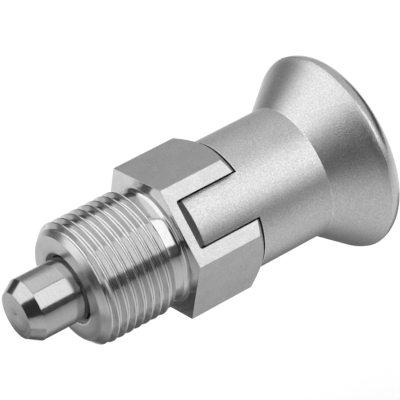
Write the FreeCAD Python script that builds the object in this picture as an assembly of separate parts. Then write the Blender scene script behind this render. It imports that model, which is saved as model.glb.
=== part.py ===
import FreeCAD, Part
import math
import os

# Indexing plunger with a pull grip and a rest position. Millimetres.
# The plunger's axis is X. The origin is the centre of the hexagon's front face,
# which is the face that seats on the plate it is screwed into. The locking pin
# points along -X, the pull grip is at +X, and one flat of the hexagon faces +Z.

# Threaded sleeve
thread_d = 20.0            # M20 fine thread, kept as its outer diameter
thread_front = 15.4        # from the seat to the sleeve's front face
front_chamfer = 1.5        # 45 degree lead-in at the sleeve's front
thread_stop = 2.75         # last full thread, measured from the seat
runout_length = 0.6        # from the last thread down to the neck
neck_depth = 1.1           # neck below the thread's outer diameter
neck_fillet = 0.7          # where the neck meets the seat
mouth_countersink = 0.65   # 45 degree, at the guide bore's mouth

# Hexagon
hex_af = 22.0              # across the flats
hex_length = 12.5
hex_rear_face_d = 21.8     # where the rear chamfer ends
hex_chamfer_angle = 40.0   # from the rear face's plane

# Notches for the grip's tongues, milled in two opposite flats
notch_width = 8.0
notch_front = 1.5          # from the seat to the notch's end wall
notch_corner_r = 0.45
notch_turn = 60.0          # from the top flat, about the axis

# Inside of the sleeve
chamber_step = 0.97        # radial, outside the guide bore; it stops the pin's collar
chamber_wall = 1.2         # left between the chamber and a notch's floor
guide_length = 5.0         # land that guides the locking pin
bush_length = 3.5

# Locking pin
pin_d = 10.0
pin_projection = 9.05      # ahead of the sleeve's front face
tip_chamfer_length = 1.95
tip_chamfer_depth = 1.2
collar_length = 2.5
stem_d = 6.0

# Return spring, closed and ground ends
wire_d = 1.0
total_coils = 6.0
closed_coils = 1.0         # at each end
tip_thickness = 0.65       # of the ground wire at each end

# Pull grip
grip_d = 21.4
grip_length = 13.0         # straight part, up to the flare
flare_angle = 38.0
knob_d = 32.1
crown_r = 3.8              # rounds the flare's top
crown_end_angle = 15.0     # slope of the flare where it meets the rim
rim_r = 3.15               # rounds the rim into the rear face
rim_edge = 2.9             # from the rear face to the rim's front edge
stem_socket = 13.15        # depth of the stem's hole
grip_edge = 0.15           # chamfer on the grip's front edge

# Clearances
running = 0.03             # radial, pin and stem in their guides
collar_gap = 0.1           # radial, collar in the chamber
spring_gap = 0.7           # radial, spring in the chamber
seat_gap = 0.02            # spring to collar, at rest
coil_gap = 0.03            # between two closed coils
tongue_side_gap = 0.275    # each side, in the notch
tongue_floor_gap = 0.2
tongue_front_gap = 1.25    # tongue to the notch's end wall, at rest
grip_gap = 0.35            # grip to the hexagon's rear face, at rest
socket_gap = 0.15          # stem's end to the socket's floor

# Radii and places along the axis that several pieces share
guide_r = pin_d / 2 + running
chamber_r = guide_r + chamber_step
sleeve_face_x = -thread_front
chamber_front_x = sleeve_face_x + guide_length
collar_rear_x = chamber_front_x + collar_length
bush_front_x = hex_length - bush_length
grip_front_x = hex_length + grip_gap
notch_floor = chamber_r + chamber_wall
tongue_floor = notch_floor + tongue_floor_gap
stem_end_x = grip_front_x + stem_socket - socket_gap

X_AXIS = FreeCAD.Vector(1, 0, 0)
ORIGIN = FreeCAD.Vector(0, 0, 0)


def at(x, r):
    """A point of a turned profile, drawn in the XZ plane."""
    return FreeCAD.Vector(x, 0, r)


def turned(outline):
    """Solid of revolution about X. An outline item is a point, or a pair (middle, end) of an arc."""
    edges = []
    here = outline[0]
    for item in outline[1:] + outline[:1]:
        if isinstance(item, tuple):
            edges.append(Part.Arc(here, item[0], item[1]).toShape())
            here = item[1]
        elif (item - here).Length > 1e-6:
            edges.append(Part.makeLine(here, item))
            here = item
    face = Part.Face(Part.Wire(edges))
    return Part.Solid(face.revolve(ORIGIN, X_AXIS, 360).Shells[0])


def cylinder(r, x0, x1):
    return Part.makeCylinder(r, x1 - x0, FreeCAD.Vector(x0, 0, 0), X_AXIS)


def turned_about_axis(shape, angle):
    copy = shape.copy()
    copy.rotate(ORIGIN, X_AXIS, angle)
    return copy


def threaded_part():
    """Sleeve ahead of the hexagon: lead-in, thread's outer cylinder, run-out, neck and fillet."""
    r = thread_d / 2
    neck_r = r - neck_depth
    runout_x = -thread_stop + runout_length
    bend = neck_fillet * (1 - math.sqrt(0.5))
    return turned([
        at(sleeve_face_x, 0),
        at(sleeve_face_x, r - front_chamfer),
        at(sleeve_face_x + front_chamfer, r),
        at(-thread_stop, r),
        at(runout_x, neck_r),
        at(-neck_fillet, neck_r),
        (at(-bend, neck_r + bend), at(0, neck_r + neck_fillet)),
        at(bush_front_x, neck_r + neck_fillet),
        at(bush_front_x, 0),
    ])


def hexagon():
    """Hexagonal prism with a flat at +Z, turned off at the rear corners."""
    corner_r = hex_af / 2 / math.cos(math.radians(30))
    corners = []
    for k in range(7):
        a = math.radians(60 * k)
        corners.append(FreeCAD.Vector(0, corner_r * math.cos(a), corner_r * math.sin(a)))
    prism = Part.Face(Part.makePolygon(corners)).extrude(FreeCAD.Vector(hex_length, 0, 0))
    over = corner_r + 1
    slope = math.tan(math.radians(hex_chamfer_angle))
    cone_x = hex_length - (over - hex_rear_face_d / 2) * slope
    blank = turned([
        at(-1, 0),
        at(-1, over),
        at(cone_x, over),
        at(hex_length, hex_rear_face_d / 2),
        at(hex_length, 0),
    ])
    return prism.common(blank)


def notch():
    """Cutter for one notch, on the +Z side."""
    length = hex_length - notch_front + 1
    corner = FreeCAD.Vector(notch_front, -notch_width / 2, notch_floor)
    block = Part.makeBox(length, notch_width, hex_af, corner)
    uprights = []
    for edge in block.Edges:
        ends = [v.Point for v in edge.Vertexes]
        if all(abs(p.x - notch_front) < 1e-6 for p in ends) and abs(ends[0].z - ends[1].z) > 1:
            uprights.append(edge)
    return block.makeFillet(notch_corner_r, uprights)


def hex_sleeve():
    body = threaded_part().fuse(hexagon())
    mouth_r = guide_r + mouth_countersink
    bore = turned([
        at(sleeve_face_x - 1, 0),
        at(sleeve_face_x - 1, mouth_r + 1),
        at(sleeve_face_x + mouth_countersink, guide_r),
        at(chamber_front_x, guide_r),
        at(chamber_front_x, chamber_r),
        at(hex_length + 1, chamber_r),
        at(hex_length + 1, 0),
    ])
    body = body.cut(bore)
    for side in (0, 180):
        body = body.cut(turned_about_axis(notch(), notch_turn + side))
    return body.removeSplitter()


def guide_bush():
    """Bush pressed into the chamber's rear. It carries the stem and holds the spring in."""
    ring = cylinder(chamber_r, bush_front_x, hex_length)
    return ring.cut(cylinder(stem_d / 2 + running, bush_front_x - 1, hex_length + 1))


def locking_pin():
    """Pin, collar and stem, turned in one piece."""
    r = pin_d / 2
    collar_r = chamber_r - collar_gap
    tip_x = sleeve_face_x - pin_projection
    return turned([
        at(tip_x, 0),
        at(tip_x, r - tip_chamfer_depth),
        at(tip_x + tip_chamfer_length, r),
        at(chamber_front_x, r),
        at(chamber_front_x, collar_r),
        at(collar_rear_x, collar_r),
        at(collar_rear_x, stem_d / 2),
        at(stem_end_x, stem_d / 2),
        at(stem_end_x, 0),
    ])


def spring_path(x0, x1, r):
    """Centre line of the wire: closed coils at both ends, open coils between them."""
    inset = tip_thickness - wire_d / 2
    closed_pitch = wire_d + coil_gap
    steps = 12
    count = int(round(total_coils * steps))
    weights = []
    for i in range(count):
        turn = (i + 0.5) / steps
        from_end = min(turn, total_coils - turn) - closed_coils
        share = min(max(from_end / 0.5, 0.0), 1.0)
        weights.append(share * share * (3 - 2 * share))
    rise = x1 - x0 - 2 * inset - closed_pitch * total_coils
    open_step = rise / sum(weights)
    points = []
    x = x0 + inset
    for i in range(count + 1):
        a = 2 * math.pi * i / steps
        points.append(FreeCAD.Vector(x, r * math.cos(a), r * math.sin(a)))
        if i < count:
            x += closed_pitch / steps + open_step * weights[i]
    return points


def return_spring():
    x0 = collar_rear_x + seat_gap
    x1 = bush_front_x
    r = chamber_r - spring_gap - wire_d / 2
    points = spring_path(x0, x1, r)
    curve = Part.BSplineCurve()
    curve.interpolate(points)
    path = Part.Wire([curve.toShape()])
    section = Part.Circle(points[0], curve.tangent(curve.FirstParameter)[0], wire_d / 2)
    halves = [section.toShape(0, math.pi), section.toShape(math.pi, 2 * math.pi)]
    coil = path.makePipeShell([Part.Wire(halves)], True, True)
    return coil.common(cylinder(chamber_r, x0, x1))


def tongue():
    """One tongue of the grip, on the +Z side. It starts inside the grip so that the two join."""
    front = notch_front + tongue_front_gap
    width = notch_width - 2 * tongue_side_gap
    block = Part.makeBox(
        grip_front_x - front + 1, width, grip_d, FreeCAD.Vector(front, -width / 2, tongue_floor)
    )
    return block.common(cylinder(grip_d / 2, front, grip_front_x + 1))


def pull_grip():
    """Grip, flare and knob turned in one piece, with two milled tongues and a blind socket."""
    flare = math.radians(flare_angle)
    crown_end = math.radians(crown_end_angle)
    mid = (flare + crown_end) / 2
    knob_r = knob_d / 2
    grip_r = grip_d / 2
    rim_lift = rim_r - rim_edge
    edge_r = knob_r - rim_r + math.sqrt(rim_r ** 2 - rim_lift ** 2)
    crown_start_r = edge_r - crown_r * (math.cos(crown_end) - math.cos(flare))
    flare_x = grip_front_x + grip_length
    crown_x = flare_x + (crown_start_r - grip_r) / math.tan(flare)
    edge_x = crown_x + crown_r * (math.sin(flare) - math.sin(crown_end))
    crown_mid = at(
        crown_x + crown_r * (math.sin(flare) - math.sin(mid)),
        crown_start_r + crown_r * (math.cos(mid) - math.cos(flare)),
    )
    rear_x = edge_x + rim_edge
    rim_mid = at(
        rear_x - rim_r * (1 - math.sqrt(0.5)),
        knob_r - rim_r * (1 - math.sqrt(0.5)),
    )
    body = turned([
        at(grip_front_x, 0),
        at(grip_front_x, grip_r - grip_edge),
        at(grip_front_x + grip_edge, grip_r),
        at(flare_x, grip_r),
        at(crown_x, crown_start_r),
        (crown_mid, at(edge_x, edge_r)),
        (rim_mid, at(rear_x, knob_r - rim_r)),
        at(rear_x, 0),
    ])
    for side in (0, 180):
        body = body.fuse(turned_about_axis(tongue(), notch_turn + side))
    socket = cylinder(stem_d / 2, grip_front_x - 1, grip_front_x + stem_socket)
    return body.cut(socket).removeSplitter()


NODES = {
    "hex_sleeve": hex_sleeve,
    "guide_bush": guide_bush,
    "return_spring": return_spring,
    "locking_pin": locking_pin,
    "pull_grip": pull_grip,
}

os.makedirs("parts", exist_ok=True)
for name, make in NODES.items():
    shape = make()
    if shape.ShapeType == "Compound" and len(shape.Solids) == 1:
        shape = shape.Solids[0]
    shape.exportStep(os.path.join("parts", name + ".step"))
    box = shape.BoundBox
    print(
        name, shape.ShapeType, len(shape.Solids), shape.isValid(), round(shape.Volume, 1),
        [round(v, 3) for v in (box.XMin, box.XMax, box.YMin, box.YMax, box.ZMin, box.ZMax)],
    )
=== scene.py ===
import math

import bmesh
import bpy
from mathutils import Matrix, Vector


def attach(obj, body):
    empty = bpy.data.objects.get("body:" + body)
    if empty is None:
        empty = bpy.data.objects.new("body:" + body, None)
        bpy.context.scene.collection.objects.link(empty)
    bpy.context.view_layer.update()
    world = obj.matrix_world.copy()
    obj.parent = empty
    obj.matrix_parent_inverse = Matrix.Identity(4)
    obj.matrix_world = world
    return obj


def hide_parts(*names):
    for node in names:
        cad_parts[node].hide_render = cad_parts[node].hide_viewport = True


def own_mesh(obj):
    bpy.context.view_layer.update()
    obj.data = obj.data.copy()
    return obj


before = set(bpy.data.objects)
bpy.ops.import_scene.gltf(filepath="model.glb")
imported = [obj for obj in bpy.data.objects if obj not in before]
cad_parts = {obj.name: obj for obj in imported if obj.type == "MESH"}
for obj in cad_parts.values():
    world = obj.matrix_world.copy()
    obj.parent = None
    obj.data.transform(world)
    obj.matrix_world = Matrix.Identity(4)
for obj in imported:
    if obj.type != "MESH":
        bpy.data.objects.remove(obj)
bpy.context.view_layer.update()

# Threaded sleeve with its hexagon.
# Stainless steel bar, turned and threaded at the front and milled to a hexagon behind, with two
# notches milled in opposite flats. It is screwed into the plate that it indexes.
MM = 0.001


def softened(outline, steps=4):
    """Outline of (x, r, radius) corners in mm as points, with each corner rounded by its radius."""
    points = []
    for i, (x, r, radius) in enumerate(outline):
        here = Vector((x, r))
        if not radius:
            points.append(here)
            continue
        back = (Vector(outline[i - 1][:2]) - here).normalized()
        ahead = (Vector(outline[(i + 1) % len(outline)][:2]) - here).normalized()
        half = back.angle(ahead) / 2
        centre = here + (back + ahead).normalized() * radius / math.sin(half)
        start = here + back * radius / math.tan(half) - centre
        end = here + ahead * radius / math.tan(half) - centre
        turn = start.angle_signed(end)
        for k in range(steps + 1):
            points.append(centre + Matrix.Rotation(-turn * k / steps, 2) @ start)
    return points


def new_piece(name, mesh_maker):
    """Object whose mesh is filled in by mesh_maker(bm), with its faces turned outwards."""
    bm = bmesh.new()
    mesh_maker(bm)
    bmesh.ops.recalc_face_normals(bm, faces=bm.faces)
    mesh = bpy.data.meshes.new(name)
    bm.to_mesh(mesh)
    bm.free()
    piece = bpy.data.objects.new(name, mesh)
    bpy.context.scene.collection.objects.link(piece)
    return piece


def turned(name, outline, around=192):
    """Piece turned about X from a closed outline of (x, r) points in mm."""

    def fill(bm):
        rings = []
        for x, r in outline:
            if r < 1e-6:
                rings.append([bm.verts.new((x * MM, 0, 0))])
                continue
            ring = []
            for k in range(around):
                a = 2 * math.pi * k / around
                ring.append(bm.verts.new((x * MM, r * MM * math.cos(a), r * MM * math.sin(a))))
            rings.append(ring)
        for i, ring in enumerate(rings):
            last = rings[i - 1]
            if len(ring) == len(last) == 1:
                continue
            for k in range(around):
                n = (k + 1) % around
                corners = [last[k % len(last)], last[n % len(last)], ring[n % len(ring)], ring[k % len(ring)]]
                bm.faces.new(list(dict.fromkeys(corners)))

    return new_piece(name, fill)


def combine(piece, other, operation):
    """Boolean of piece with other. The other piece is used up."""
    boolean = piece.modifiers.new("combine", "BOOLEAN")
    boolean.operation = operation
    boolean.solver = "MANIFOLD"
    boolean.object = other
    result = bpy.data.meshes.new_from_object(piece.evaluated_get(bpy.context.evaluated_depsgraph_get()))
    piece.modifiers.clear()
    piece.data = result
    bpy.data.objects.remove(other)


def finish_surface(piece, angle=32):
    """Smooth shading with sharp creases, and normals that follow the larger faces."""
    bm = bmesh.new()
    bm.from_mesh(piece.data)
    bmesh.ops.remove_doubles(bm, verts=bm.verts, dist=1e-7)
    bmesh.ops.dissolve_degenerate(bm, edges=bm.edges, dist=1e-7)
    bm.to_mesh(piece.data)
    bm.free()
    piece.data.materials.clear()
    piece.data.shade_smooth()
    piece.data.set_sharp_from_angle(angle=math.radians(angle))
    weights = piece.modifiers.new("weighted_normals", "WEIGHTED_NORMAL")
    weights.keep_sharp = True


SLEEVE_FACE = -15.4
LEAD_R = 8.5
THREAD_R = 9.93
THREAD_END = -3.0
PITCH = 1.5
THREAD_START = 1.215
NECK_R = 8.9
NECK_FILLET = 0.8
HEX_LENGTH = 12.5
HEX_FLAT = 11.0
HEX_CORNER = HEX_FLAT / math.cos(math.radians(30))
HEX_REAR_R = 10.9
GUIDE_R = 5.03
CHAMBER_R = 6.0
NOTCH_HALF = 4.0
NOTCH_FRONT = 1.5
NOTCH_TURN = 60
NOTCH_ACROSS = Vector((0, math.cos(math.radians(NOTCH_TURN)), math.sin(math.radians(NOTCH_TURN))))

sleeve = turned("threaded_sleeve", softened([
    (SLEEVE_FACE, 0, 0),
    (SLEEVE_FACE, LEAD_R, 0.08),
    (SLEEVE_FACE + THREAD_R - LEAD_R, THREAD_R, 0.05),
    (THREAD_END, THREAD_R, 0),
    (THREAD_END + 0.6, NECK_R, 0.1),
    (0, NECK_R, NECK_FILLET),
    (0, NECK_R + NECK_FILLET, 0),
    (1, NECK_R + NECK_FILLET, 0),
    (1, 0, 0),
]), around=240)


def thread_groove(bm):
    """Helical groove of a 60 degree thread with a rounded root, as a closed solid."""
    per_turn = 120
    root_radius = 0.25
    crest_radius = 0.13
    crest_half = 0.03
    tip = crest_half + crest_radius * math.cos(math.radians(30))
    v_depth = crest_radius / 2 + (PITCH / 2 - tip) / math.tan(math.radians(30))
    root_centre = THREAD_R - v_depth + 2 * root_radius
    crest_centre = PITCH / 2 - crest_half
    right = []
    for a in (7, 21, 35, 49, 60):
        a = math.radians(a)
        right.append((root_radius * math.sin(a), root_centre - root_radius * math.cos(a)))
    for a in (60, 48, 35, 22, 10):
        a = math.radians(a)
        right.append((crest_centre - crest_radius * math.sin(a), THREAD_R - crest_radius * (1 - math.cos(a))))
    right.append((crest_centre, THREAD_R + 0.02))
    section = [(-dx, r) for dx, r in right[::-1]] + right
    turns = (THREAD_END + 1.6 - SLEEVE_FACE + 2) / PITCH
    rings = []
    for k in range(int(turns * per_turn) + 1):
        a = 2 * math.pi * k / per_turn
        x = SLEEVE_FACE - 2 + PITCH * k / per_turn
        a += THREAD_START
        rings.append([
            bm.verts.new(((x + dx) * MM, r * MM * math.cos(a), r * MM * math.sin(a)))
            for dx, r in section
        ])
    count = len(section)
    for one, two in zip(rings, rings[1:]):
        for k in range(count):
            n = (k + 1) % count
            bm.faces.new((one[k], one[n], two[n], two[k]))
    bm.faces.new(rings[0])
    bm.faces.new(rings[-1])


combine(sleeve, new_piece("thread_groove", thread_groove), "DIFFERENCE")


def hex_bar(bm):
    """Hexagonal bar with one flat up and its front and long edges broken."""
    front, back = [], []
    for k in range(6):
        a = math.radians(60 * k)
        y, z = HEX_CORNER * MM * math.cos(a), HEX_CORNER * MM * math.sin(a)
        front.append(bm.verts.new((0, y, z)))
        back.append(bm.verts.new(((HEX_LENGTH + 1) * MM, y, z)))
    bm.faces.new(front)
    bm.faces.new(back)
    for k in range(6):
        n = (k + 1) % 6
        bm.faces.new((front[k], front[n], back[n], back[k]))
    edges = [e for e in bm.edges if min(v.co.x for v in e.verts) < 1e-6]
    bmesh.ops.bevel(
        bm, geom=edges, offset=0.09 * MM, segments=2, affect="EDGES", profile=0.5, clamp_overlap=True
    )


hexagon = new_piece("hexagon", hex_bar)
rear_slope = math.tan(math.radians(40))
combine(hexagon, turned("rear_chamfer", softened([
    (-1, 0, 0),
    (-1, HEX_CORNER + 1, 0),
    (HEX_LENGTH - (HEX_CORNER + 1 - HEX_REAR_R) * rear_slope, HEX_CORNER + 1, 0),
    (HEX_LENGTH, HEX_REAR_R - 0.02, 0.03),
    (HEX_LENGTH, 0, 0),
]), around=240), "INTERSECT")
combine(sleeve, hexagon, "UNION")


def notch_cutter(bm):
    """Milled notch on the +Z side, with rounded corners at its end wall."""
    wide, corner, front, floor = NOTCH_HALF, 0.45, NOTCH_FRONT, 7.2
    rim = []
    for side in (-1, 1):
        for k in range(7):
            a = math.radians(90 * k / 6)
            point = (front + corner - corner * math.sin(a), side * (wide - corner + corner * math.cos(a)))
            rim.append((side, k, point))
    left = [p for s, k, p in rim if s == -1]
    right = [p for s, k, p in rim if s == 1]
    outline = [(HEX_LENGTH + 1, -wide)] + left + right[::-1] + [(HEX_LENGTH + 1, wide)]
    low = [bm.verts.new((x * MM, y * MM, floor * MM)) for x, y in outline]
    high = [bm.verts.new((x * MM, y * MM, 14 * MM)) for x, y in outline]
    bm.faces.new(low)
    bm.faces.new(high)
    for k in range(len(outline)):
        n = (k + 1) % len(outline)
        bm.faces.new((low[k], low[n], high[n], high[k]))


for side in (0, 180):
    cutter = new_piece("notch", notch_cutter)
    cutter.data.transform(Matrix.Rotation(math.radians(NOTCH_TURN + side), 4, "X"))
    combine(sleeve, cutter, "DIFFERENCE")

combine(sleeve, turned("bore", [
    (SLEEVE_FACE - 1, 0),
    (SLEEVE_FACE - 1, GUIDE_R + 1.0),
    (SLEEVE_FACE, GUIDE_R + 0.98),
    (SLEEVE_FACE + 0.04, GUIDE_R + 0.72),
    (SLEEVE_FACE + 0.2, GUIDE_R + 0.68),
    (SLEEVE_FACE + 0.26, GUIDE_R + 0.44),
    (SLEEVE_FACE + 0.6, GUIDE_R + 0.1),
    (SLEEVE_FACE + 1.2, GUIDE_R + 0.06),
    (SLEEVE_FACE + 1.4, GUIDE_R),
    (SLEEVE_FACE + 5, GUIDE_R),
    (SLEEVE_FACE + 5, CHAMBER_R),
    (HEX_LENGTH + 1, CHAMBER_R),
    (HEX_LENGTH + 1, 0),
], around=192), "DIFFERENCE")
finish_surface(sleeve)


def add_node(metal, kind, *inputs, **settings):
    """New shader node. Inputs come in order, or by name with a capital. The rest are its settings."""
    node = metal.node_tree.nodes.new("ShaderNode" + kind)
    for name, value in settings.items():
        if name[0].islower():
            setattr(node, name, value)
    named = [(name.replace("_", " "), value) for name, value in settings.items() if name[0].isupper()]
    for key, value in [*enumerate(inputs), *named]:
        if isinstance(value, bpy.types.NodeSocket):
            metal.node_tree.links.new(value, node.inputs[key])
        else:
            node.inputs[key].default_value = value
    return node


def calculate(metal, operation, *inputs):
    return add_node(metal, "Math", *inputs, operation=operation).outputs[0]


def spread(metal, source, low, high, start=0.3, end=0.7):
    """Map a pattern's start to end onto low to high."""
    return add_node(metal, "MapRange", source, start, end, low, high).outputs[0]


def round_axis(metal, sway=0.02):
    """Coordinates of lines that run round the X axis, in metres: along it and away from it."""
    place = add_node(metal, "TexCoord").outputs["Object"]
    x, y, z = add_node(metal, "SeparateXYZ", place).outputs
    flat = add_node(metal, "VectorMath", place, (0, 1, 1), operation="MULTIPLY").outputs[0]
    away = add_node(metal, "VectorMath", flat, operation="LENGTH").outputs["Value"]
    drift = calculate(metal, "MULTIPLY", calculate(metal, "ADD", y, z), sway)
    return add_node(metal, "CombineXYZ", x, away, drift).outputs[0]


def noise(metal, size, detail=2.0, vector=None):
    """Pattern with features of about this size in mm."""
    vector = vector or add_node(metal, "TexCoord").outputs["Object"]
    return add_node(metal, "TexNoise", Scale=1 / (size * MM), Detail=detail, Vector=vector).outputs[0]


def rubbed_and_sheen_edges(metal, radius, least):
    """1 on edges and 0 on faces. The bevel only finds the edges and doesn't change the shape."""
    eased = add_node(metal, "Bevel", radius * MM, samples=6).outputs["Normal"]
    face = add_node(metal, "NewGeometry").outputs["Normal"]
    facing = add_node(metal, "VectorMath", eased, face, operation="DOT_PRODUCT").outputs["Value"]
    return add_node(metal, "MapRange", facing, least, least * 0.95, 0.0, 1.0).outputs[0]


def stainless(name, shade, dull, relief, depth, lay=0.0):
    """Stainless steel. shade and dull are patterns of brightness and roughness, and relief is its surface."""
    metal = bpy.data.materials.new(name)
    metal.use_nodes = True
    shader = metal.node_tree.nodes["Principled BSDF"]
    shader.inputs["Metallic"].default_value = 1.0
    shader.inputs["Anisotropic"].default_value = lay
    shader.inputs["Anisotropic Rotation"].default_value = 0.25
    links = metal.node_tree.links
    links.new(shade(metal), shader.inputs["Base Color"])
    links.new(dull(metal), shader.inputs["Roughness"])
    bump = add_node(metal, "Bump", Strength=1.0, Distance=depth * MM, Height=relief(metal))
    links.new(bump.outputs["Normal"], shader.inputs["Normal"])
    if lay:
        tangent = add_node(metal, "Tangent", direction_type="RADIAL", axis="X")
        links.new(tangent.outputs[0], shader.inputs["Tangent"])
    return metal


def brightened(metal, shade, rub_and_sheen, radius=0.12, least=0.985):
    """The shade, brighter on the edges: partly wear, partly a painted highlight along them."""
    edge_rub_and_sheen = calculate(metal, "MULTIPLY", rubbed_and_sheen_edges(metal, radius, least), rub_and_sheen)
    return calculate(metal, "ADD", shade, edge_rub_and_sheen)


def turned_shade(low, high, size=0.25, rub_and_sheen=0.1):
    def shade(metal):
        clouds = spread(metal, noise(metal, 2.0, 3.0), 0.96, 1.04)
        lines = spread(metal, noise(metal, size, 2.0, round_axis(metal)), low, high)
        grain = spread(metal, noise(metal, 0.2, 1.0), 0.96, 1.04)
        speckled = calculate(metal, "MULTIPLY", lines, grain)
        return brightened(metal, calculate(metal, "MULTIPLY", clouds, speckled), rub_and_sheen)
    return shade


def turned_dull(low, high):
    return lambda metal: spread(metal, noise(metal, 0.4, 2.0, round_axis(metal)), low, high)


def turned_relief(size=0.2, grain_size=0.2, grain_share=0.4):
    def relief(metal):
        lines = noise(metal, size, 2.0, round_axis(metal))
        grain = noise(metal, grain_size, 2.0)
        return add_node(metal, "Mix", grain_share, data_type="FLOAT", A=lines, B=grain).outputs[0]
    return relief


def milled_shade(metal):
    clouds = spread(metal, noise(metal, 2.5, 3.0), 0.485, 0.535)
    grain = spread(metal, noise(metal, 0.2, 2.0), 0.9, 1.1, 0.35, 0.65)
    return brightened(metal, calculate(metal, "MULTIPLY", clouds, grain), 0.2)


# Painted shade: dark steel for the notch side walls, the hexagon's rear face and the bore mouth, and on the
# grip for the tongue sides and front face, so that gaps and recesses between parts read dark.
def gap_painted_shade(metal):
    return spread(metal, noise(metal, 1.0, 3.0), 0.21, 0.27)


def notch_dull(metal):
    return spread(metal, noise(metal, 0.5, 2.0), 0.4, 0.5)


def milled_dull(metal):
    return spread(metal, noise(metal, 0.5, 2.0), 0.27, 0.34)


def milled_relief(metal):
    place = add_node(metal, "TexCoord").outputs["Object"]
    drawn_out = add_node(metal, "VectorMath", place, (1, 0.15, 0.15), operation="MULTIPLY").outputs[0]
    lines = noise(metal, 0.3, 2.0, drawn_out)
    grain = noise(metal, 0.22, 2.0)
    return add_node(metal, "Mix", 0.5, data_type="FLOAT", A=lines, B=grain).outputs[0]


FACE, THREAD, NECK, SHOULDER, MILLED, NOTCH, CHAMFER = range(7)
sleeve_finishes = [
    stainless(
        "turned_face_steel", turned_shade(0.52, 0.57), turned_dull(0.28, 0.35), turned_relief(0.3), 0.012,
        lay=0.3,
    ),
    stainless(
        "thread_steel", turned_shade(0.58, 0.63, 0.12, 0.3), turned_dull(0.12, 0.17), turned_relief(0.12),
        0.003,
    ),
    stainless("turned_neck_steel", turned_shade(0.54, 0.58), turned_dull(0.1, 0.14), turned_relief(), 0.0008),
    stainless(
        "turned_shoulder_steel", turned_shade(0.62, 0.66), turned_dull(0.1, 0.15), turned_relief(), 0.0015
    ),
    stainless("milled_steel", milled_shade, milled_dull, milled_relief, 0.035),
    stainless("gap_painted_shade_steel", gap_painted_shade, notch_dull, milled_relief, 0.006),
    stainless(
        "turned_chamfer_steel", turned_shade(0.49, 0.54), turned_dull(0.24, 0.31), turned_relief(0.3), 0.008,
        lay=0.3,
    ),
]
for finish in sleeve_finishes:
    sleeve.data.materials.append(finish)
for face in sleeve.data.polygons:
    x = face.center.x / MM
    away = max(sleeve.data.vertices[v].co.yz.length for v in face.vertices) / MM
    across = abs(face.center.dot(NOTCH_ACROSS)) / MM
    beside_notch = NOTCH_HALF - 0.1 < across < NOTCH_HALF + 0.01
    inside_hexagon = x > NOTCH_FRONT + 0.1 and face.center.yz.length < (HEX_FLAT - 0.3) * MM
    # Painted shade: the notch side walls and the hexagon's rear face, which face the grip across narrow gaps,
    # take the dark gap steel.
    if x > HEX_LENGTH - 0.01 or (beside_notch and inside_hexagon):
        face.material_index = NOTCH
    elif x > 0.04:
        face.material_index = MILLED
    elif x > -0.03 and away > NECK_R + 0.6:
        face.material_index = SHOULDER
    elif x > THREAD_END - 0.02 and away > NECK_R - 0.3:
        face.material_index = NECK
    elif x > SLEEVE_FACE + 1.2 and away > CHAMBER_R + 0.5:
        face.material_index = THREAD
    # Painted shade: the bore mouth round the pin takes the dark gap steel, as a dark ring where shade falls.
    elif SLEEVE_FACE + 0.21 < x < SLEEVE_FACE + 1.6 and away < GUIDE_R + 0.8:
        face.material_index = NOTCH
    elif x > SLEEVE_FACE + 0.01:
        face.material_index = CHAMFER
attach(sleeve, "sleeve")
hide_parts("hex_sleeve")

# Guide bush.
# Short ring turned from steel and pressed into the rear of the sleeve's chamber. The pin's stem
# slides in it, and the spring rests against it.
BUSH_FRONT = HEX_LENGTH - 3.5
bush = turned("guide_bush_turned", softened([
    (BUSH_FRONT, 3.03, 0.2),
    (BUSH_FRONT, CHAMBER_R, 0.15),
    (HEX_LENGTH, CHAMBER_R, 0.15),
    (HEX_LENGTH, 3.03, 0.2),
]), around=128)
finish_surface(bush)
bush.data.materials.append(stainless(
    "turned_bush_steel", turned_shade(0.4, 0.45, 0.15, 0.15), turned_dull(0.22, 0.3), turned_relief(0.15),
    0.003,
))
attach(bush, "sleeve")
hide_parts("guide_bush")

# Return spring.
# Drawn stainless wire wound into six coils, with closed ends that are ground flat. It sits round
# the pin's stem and pushes on the pin's collar.
SPRING_FRONT = -7.88


def wire_coil(bm):
    """Wire of 1 mm along a coil of 4.8 mm radius, closed at both ends and open between."""
    turns, per_turn, sides, coil_r, wire_r, closed_pitch = 6, 48, 16, 4.8, 0.5, 1.03
    shares = []
    for i in range(turns * per_turn):
        turn = (i + 0.5) / per_turn
        share = min(max((min(turn, turns - turn) - 1) / 0.5, 0), 1)
        shares.append(share * share * (3 - 2 * share))
    x = SPRING_FRONT + 0.15
    rise = BUSH_FRONT - SPRING_FRONT - 0.3 - closed_pitch * turns
    rings = []
    for i in range(turns * per_turn + 1):
        a = 2 * math.pi * i / per_turn
        step = closed_pitch / per_turn + rise * shares[min(i, len(shares) - 1)] / sum(shares)
        out = Vector((0, math.cos(a), math.sin(a)))
        arc = coil_r * 2 * math.pi / per_turn
        along = Vector((step, -arc * math.sin(a), arc * math.cos(a)))
        side = along.normalized().cross(out)
        middle = Vector((x, 0, 0)) + out * coil_r
        rings.append([
            bm.verts.new((middle + (out * math.cos(b) + side * math.sin(b)) * wire_r) * MM)
            for b in (2 * math.pi * k / sides for k in range(sides))
        ])
        x += step
    for one, two in zip(rings, rings[1:]):
        for k in range(sides):
            n = (k + 1) % sides
            bm.faces.new((one[k], one[n], two[n], two[k]))
    bm.faces.new(rings[0])
    bm.faces.new(rings[-1])


spring = new_piece("return_spring_wound", wire_coil)
combine(spring, turned("ground_ends", [
    (SPRING_FRONT, 0), (SPRING_FRONT, 7), (BUSH_FRONT, 7), (BUSH_FRONT, 0)
], around=96), "INTERSECT")
finish_surface(spring)


def drawn_shade(metal):
    clouds = spread(metal, noise(metal, 1.5, 3.0), 0.36, 0.42)
    grain = spread(metal, noise(metal, 0.15, 2.0), 0.92, 1.08)
    return brightened(metal, calculate(metal, "MULTIPLY", clouds, grain), 0.15)


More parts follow.
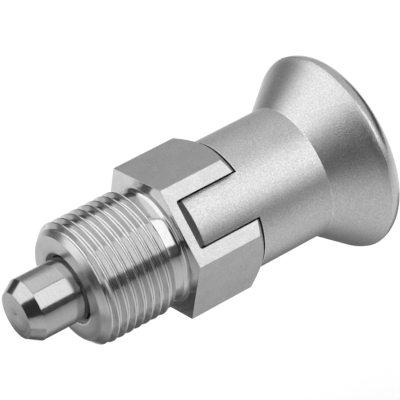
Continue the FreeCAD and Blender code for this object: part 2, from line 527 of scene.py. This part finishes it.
def drawn_dull(metal):
    return spread(metal, noise(metal, 0.4, 2.0), 0.2, 0.3)


def drawn_relief(metal):
    return noise(metal, 0.12, 2.0)


spring.data.materials.append(stainless("drawn_wire_steel", drawn_shade, drawn_dull, drawn_relief, 0.003))
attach(spring, "sleeve")
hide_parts("return_spring")
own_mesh(spring)

# Locking pin.
# One turned stainless piece: the ground pin with its chamfered tip, the collar that stops it in the
# sleeve, and the thin stem that runs back through the spring and is pressed into the grip.
PIN_TIP = -24.45
PIN_R = 5.0
COLLAR_FRONT, COLLAR_REAR, COLLAR_R = -10.4, -7.9, 5.9
STEM_R = 3.0
STEM_END = 25.85
pin = turned("locking_pin_turned", softened([
    (PIN_TIP + 0.15, 0, 0),
    (PIN_TIP + 0.13, 0.22, 0),
    (PIN_TIP, 0.42, 0.05),
    (PIN_TIP, 3.74, 0.08),
    (PIN_TIP + 1.95, PIN_R, 0.15),
    (COLLAR_FRONT, PIN_R, 0),
    (COLLAR_FRONT, COLLAR_R, 0.1),
    (COLLAR_REAR, COLLAR_R, 0.1),
    (COLLAR_REAR, STEM_R, 0),
    (STEM_END, STEM_R, 0.3),
    (STEM_END, 0, 0),
]))
finish_surface(pin)
pin.data.materials.append(stainless(
    "ground_steel", turned_shade(0.42, 0.46, 0.2, 0.25), turned_dull(0.12, 0.17), turned_relief(0.2, 0.15),
    0.0015,
))
pin.data.materials.append(stainless(
    "pin_tip_steel", turned_shade(0.38, 0.41, 0.2, 0.2), turned_dull(0.2, 0.3), turned_relief(0.2, 0.15),
    0.004,
))
for face in pin.data.polygons:
    face.material_index = int(face.center.x < (PIN_TIP + 0.01) * MM)
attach(pin, "plunger")
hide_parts("locking_pin")

# Pull grip.
# One stainless piece, turned with its flare and knob, then fine blasted. Its two milled tongues sit
# in the hexagon's notches, and it is pressed on the pin's stem.
GRIP_FRONT = 12.92
GRIP_R = 10.7
FLARE_FRONT = 25.85
CROWN_X, CROWN_Y, CROWN_ROUND = 31.82, 15.364, 3.8
KNOB_R = 16.04
RIM_X, RIM_Y, RIM_ROUND, RIM_TURN = 32.926, 12.9, 3.15, 85.45
RIM_FRONT = 33.176
KNOB_REAR = 36.076
TONGUE_FRONT = 2.75
TONGUE_HALF = 3.71
flare, crown_end = math.radians(38), math.radians(15)
crown = []
for k in range(1, 12):
    a = flare + (crown_end - flare) * k / 12
    crown.append((
        CROWN_X + CROWN_ROUND * (math.sin(flare) - math.sin(a)),
        CROWN_Y + CROWN_ROUND * (math.cos(a) - math.cos(flare)),
        0,
    ))
rim = []
for k in range(1, 25):
    a = math.radians(RIM_TURN - RIM_TURN * k / 24)
    rim.append((RIM_X + RIM_ROUND * math.cos(a), RIM_Y + RIM_ROUND * math.sin(a), 0))
grip = turned("pull_grip_turned", softened([
    (GRIP_FRONT, 0, 0),
    (GRIP_FRONT, GRIP_R, 0.06),
    (FLARE_FRONT, GRIP_R, 0.06),
    (CROWN_X, CROWN_Y, 0),
    *crown,
    (RIM_FRONT, KNOB_R, 0.03),
    *rim,
    (KNOB_REAR, 0, 0),
]), around=240)


def tongue_block(bm):
    """Block for a tongue on the +Z side. Its sides lean out below, so that the gap closes with depth."""
    wide, wide_below, floor = TONGUE_HALF, 3.96, 7.4
    bmesh.ops.create_cube(bm, size=1)
    for v in bm.verts:
        v.co = Vector((
            (TONGUE_FRONT if v.co.x < 0 else 14) * MM,
            math.copysign(wide_below if v.co.z < 0 else wide, v.co.y) * MM,
            (floor if v.co.z < 0 else 9.4) * MM,
        ))
    top = [f for f in bm.faces if f.normal.z > 0.9]
    raised = bmesh.ops.extrude_face_region(bm, geom=top)["geom"]
    for v in raised:
        if isinstance(v, bmesh.types.BMVert):
            v.co.z = 12 * MM
    bmesh.ops.delete(bm, geom=top, context="FACES_ONLY")
    corners = [
        e for e in bm.edges
        if max(v.co.x for v in e.verts) < 3 * MM and abs(e.verts[0].co.z - e.verts[1].co.z) > 1e-6
    ]
    bmesh.ops.bevel(bm, geom=corners, offset=0.1 * MM, segments=2, affect="EDGES", profile=0.5)


for side in (0, 180):
    tongue = new_piece("tongue", tongue_block)
    combine(tongue, turned("tongue_round", softened([
        (TONGUE_FRONT, 0, 0), (TONGUE_FRONT, GRIP_R, 0.12), (13.5, GRIP_R, 0), (13.5, 0, 0)
    ]), around=240), "INTERSECT")
    tongue.data.transform(Matrix.Rotation(math.radians(NOTCH_TURN + side), 4, "X"))
    combine(grip, tongue, "UNION")
combine(grip, turned("socket", [(12, 0), (12, STEM_R), (26, STEM_R), (26, 0)], around=96), "DIFFERENCE")
finish_surface(grip)


# The grip's edges and the crease of its flare are brightened most: partly burnished wear, partly a painted
# highlight.
def grip_shade(metal):
    clouds = spread(metal, noise(metal, 4.0, 3.0), 0.54, 0.57)
    grain = spread(metal, noise(metal, 0.2, 2.0), 0.84, 1.16, 0.35, 0.65)
    return brightened(metal, calculate(metal, "MULTIPLY", clouds, grain), 0.4, 0.22, 0.995)


def grip_dull(metal):
    return spread(metal, noise(metal, 0.5, 2.0), 0.33, 0.38)


def grip_relief(metal):
    return noise(metal, 0.22, 2.0)


grip.data.materials.append(stainless("blasted_steel", grip_shade, grip_dull, grip_relief, 0.04))


def rim_shade(metal):
    clouds = spread(metal, noise(metal, 4.0, 3.0), 0.56, 0.6)
    grain = spread(metal, noise(metal, 0.2, 2.0), 0.9, 1.1, 0.35, 0.65)
    return brightened(metal, calculate(metal, "MULTIPLY", clouds, grain), 0.2, 0.18, 0.995)


grip.data.materials.append(stainless(
    "turned_rim_steel", rim_shade, turned_dull(0.2, 0.26), grip_relief, 0.015
))
grip.data.materials.append(sleeve_finishes[NOTCH])
BLASTED, RIM, BESIDE_GAP = range(3)
for face in grip.data.polygons:
    x = face.center.x / MM
    away = face.center.yz.length / MM
    across = abs(face.center.dot(NOTCH_ACROSS)) / MM
    tongue_side = x < GRIP_FRONT - 0.02 and across > TONGUE_HALF - 0.11 and away < GRIP_R - 0.2
    # Painted shade: the tongue sides and the grip's front face, which face the hexagon across narrow gaps,
    # take the sleeve's dark gap steel.
    if tongue_side or (GRIP_FRONT - 1 < x < GRIP_FRONT + 0.03 and face.normal.x < -0.9):
        face.material_index = BESIDE_GAP
    elif x > RIM_FRONT - 0.1:
        face.material_index = RIM
    else:
        face.material_index = BLASTED
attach(grip, "plunger")
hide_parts("pull_grip")

# Floor under the plunger.
# Plain pale board, wide enough to fill the picture from any side. The plunger is held above it,
# and its soft shadow falls on it.
FLOOR_Z = -0.06


def staged(name, vertices, faces, shades, along=None):
    """Board or card of the studio. Its shade is even, or graded along one axis by (place, shade)."""
    mesh = bpy.data.meshes.new(name)
    mesh.from_pydata(vertices, [], faces)
    board = bpy.data.objects.new(name, mesh)
    bpy.context.scene.collection.objects.link(board)
    paint = bpy.data.materials.new(name)
    paint.use_nodes = True
    shader = paint.node_tree.nodes["Principled BSDF"]
    shader.inputs["Roughness"].default_value = 1.0
    shader.inputs["Specular IOR Level"].default_value = 0.0
    if along is None:
        shader.inputs["Base Color"].default_value = (shades, shades, shades, 1)
    else:
        place = add_node(paint, "SeparateXYZ", add_node(paint, "TexCoord").outputs["Object"]).outputs[along]
        first, last = shades[0][0], shades[-1][0]
        grade = add_node(paint, "ValToRGB", add_node(paint, "MapRange", place, first, last).outputs[0])
        ramp = grade.color_ramp
        while len(ramp.elements) < len(shades):
            ramp.elements.new(0.5)
        for element, (where, shade) in zip(ramp.elements, shades):
            element.position = (where - first) / (last - first)
            element.color = (shade, shade, shade, 1)
        paint.node_tree.links.new(grade.outputs["Color"], shader.inputs["Base Color"])
    mesh.materials.append(paint)
    return board


def level_board(name, x, y, z, shades, along=None):
    corners = [(x[0], y[0], z), (x[1], y[0], z), (x[1], y[1], z), (x[0], y[1], z)]
    return staged(name, corners, [(0, 1, 2, 3)], shades, along)


level_board("floor", (-4, 4), (-4, 4), FLOOR_Z, 0.97)

# Cards round the plunger.
# Dark, grey and pale card that a photographer stands and lays round bright steel, so that its
# shape shows. The laid cards under and in front of the plunger carry a painted shadow and painted
# shade of the plunger on the floor. Only the reflections in the steel see the cards, and they
# cast no shadow.


def only_reflected(card):
    card.visible_camera = False
    card.visible_diffuse = False
    card.visible_shadow = False


def direction(azimuth, elevation):
    """Unit vector from the plunger. Azimuth 0 is +Y and 90 is +X, in degrees."""
    a, e = math.radians(azimuth), math.radians(elevation)
    return Vector((math.cos(e) * math.sin(a), math.cos(e) * math.cos(a), math.sin(e)))


def standing_card(name, azimuths, elevations, shade, distance=0.45):
    low, high = (distance * math.tan(math.radians(e)) for e in elevations)
    low = max(low, FLOOR_Z + 0.001)
    steps = 12
    vertices, faces = [], []
    for k in range(steps + 1):
        foot = direction(azimuths[0] + (azimuths[1] - azimuths[0]) * k / steps, 0) * distance
        vertices += [(foot.x, foot.y, low), (foot.x, foot.y, high)]
        if k:
            faces.append((2 * k - 2, 2 * k, 2 * k + 1, 2 * k - 1))
    only_reflected(staged(name, vertices, faces, shade))


standing_card("card_camera", (-178, -105), (-8, 40.5), 0.05)
standing_card("card_camera_low", (-105, -92), (-8, 14), 0.05)
standing_card("card_left", (-92, -64), (-8, 24), 0.75)
standing_card("card_left_back", (-64, -45), (-4, 22), 0.45)
standing_card("card_back_left", (-45, -24), (8, 37), 0.17)
standing_card("card_back_middle", (-24, 3), (8, 37), 0.09)
standing_card("card_back", (3, 24), (0, 41), 0.33)
standing_card("card_back_right", (24, 52), (-4, 44), 0.52)
standing_card("card_far_right", (62, 112), (-8, 12), 0.06)
standing_card("card_right", (152, 182), (-8, 10), 0.1)
standing_card("card_right_low", (126, 152), (-8, -3), 0.3)
standing_card("softbox_edge", (100, 165), (60.6, 62.2), 0.04)
only_reflected(level_board(
    "card_laid", (-0.5, 0.5), (-0.5, 0.5), FLOOR_Z + 0.001,
    [
        (-0.5, 0.04), (-0.28, 0.05), (-0.24, 0.33), (-0.17, 0.44),
        (-0.09, 0.65), (-0.05, 0.78), (0, 0.83), (0.5, 0.83),
    ],
    along=1,
))
# Painted shadow of the plunger on the floor, darkest just under it, which the reflections see in place of the
# floor.
only_reflected(level_board(
    "painted_shadow_under", (-0.036, 0.11), (-0.012, 0.13), FLOOR_Z + 0.002,
    [(-0.012, 0.78), (0, 0.46), (0.012, 0.3), (0.02, 0.16), (0.05, 0.12), (0.09, 0.13), (0.13, 0.5)], along=1,
))
# Painted shade on the floor in front of the plunger, darkest next to it, which the reflections see in place
# of the floor.
only_reflected(level_board(
    "painted_shade_front", (-0.22, -0.036), (-0.03, 0.06), FLOOR_Z + 0.003,
    [(-0.22, 0.55), (-0.12, 0.38), (-0.08, 0.36), (-0.036, 0.24)], along=0,
))
# Painted shade on the floor, darkest right beside the plunger's front.
only_reflected(level_board(
    "painted_shade_front_far", (-0.1, -0.036), (0.06, 0.095), FLOOR_Z + 0.003,
    [(-0.1, 0.48), (-0.08, 0.46), (-0.068, 0.34), (-0.056, 0.06), (-0.036, 0.05)], along=0,
))
only_reflected(level_board("card_below_tip", (-0.056, -0.036), (-0.03, 0.007), FLOOR_Z + 0.004, 0.5))
only_reflected(level_board("card_below_pin", (-0.008, 0.01), (0.046, 0.13), FLOOR_Z + 0.003, 0.83))
standing_card("card_close", (-144, -129), (6, 44), 0.97, distance=0.045)

# Light.
# Two softboxes hung side by side overhead, one at the front right, and a small one that lies behind
# and faces up, in a white room. The camera doesn't see them.


def softbox(name, place, aim, width, height, glow):
    lamp = bpy.data.lights.new(name, "AREA")
    lamp.shape = "RECTANGLE"
    lamp.size, lamp.size_y = width, height
    lamp.energy = glow * math.pi * width * height
    holder = bpy.data.objects.new(name, lamp)
    bpy.context.scene.collection.objects.link(holder)
    turn = aim.to_track_quat("Z", "Y")
    holder.matrix_world = Matrix.Translation(place) @ turn.to_matrix().to_4x4()
    holder.visible_camera = False


softbox("softbox_overhead", Vector((-1.05, 0.33, 1.0)), Vector((0, 0, 1)), 2.1, 1.65, 0.93)
softbox("softbox_overhead_right", Vector((0.225, 0.33, 1.0)), Vector((0, 0, 1)), 0.45, 1.65, 0.5)
softbox("softbox_side", direction(146, 35), direction(146, 35), 0.8, 0.94, 1.0)
softbox("softbox_low", Vector((0.1, 0.19, FLOOR_Z + 0.003)), Vector((0, 0, -1)), 0.1, 0.1, 0.6)

world = bpy.data.worlds.new("white_room")
bpy.context.scene.world = world
world.use_nodes = True
world.node_tree.nodes["Background"].inputs["Color"].default_value = (1, 1, 1, 1)
world.node_tree.nodes["Background"].inputs["Strength"].default_value = 0.66

# Camera.
# Long lens from the front left, a little above the plunger. The plunger lies across the square
# picture, with its pin at the lower left.
camera_data = bpy.data.cameras.new("camera")
camera_data.sensor_width = 36
camera_data.lens = 229.6
camera = bpy.data.objects.new("camera", camera_data)
bpy.context.scene.collection.objects.link(camera)
right = Vector((0.8011, -0.5593, -0.2132))
up = Vector((0.4200, 0.2713, 0.8661))
back = Vector((-0.4266, -0.7833, 0.4523))
place = Vector((-0.1537, -0.2998, 0.1760))
camera.matrix_world = Matrix((
    (right.x, up.x, back.x, place.x),
    (right.y, up.y, back.y, place.y),
    (right.z, up.z, back.z, place.z),
    (0, 0, 0, 1),
))
bpy.context.scene.camera = camera
bpy.context.scene.view_settings.view_transform = "Standard"
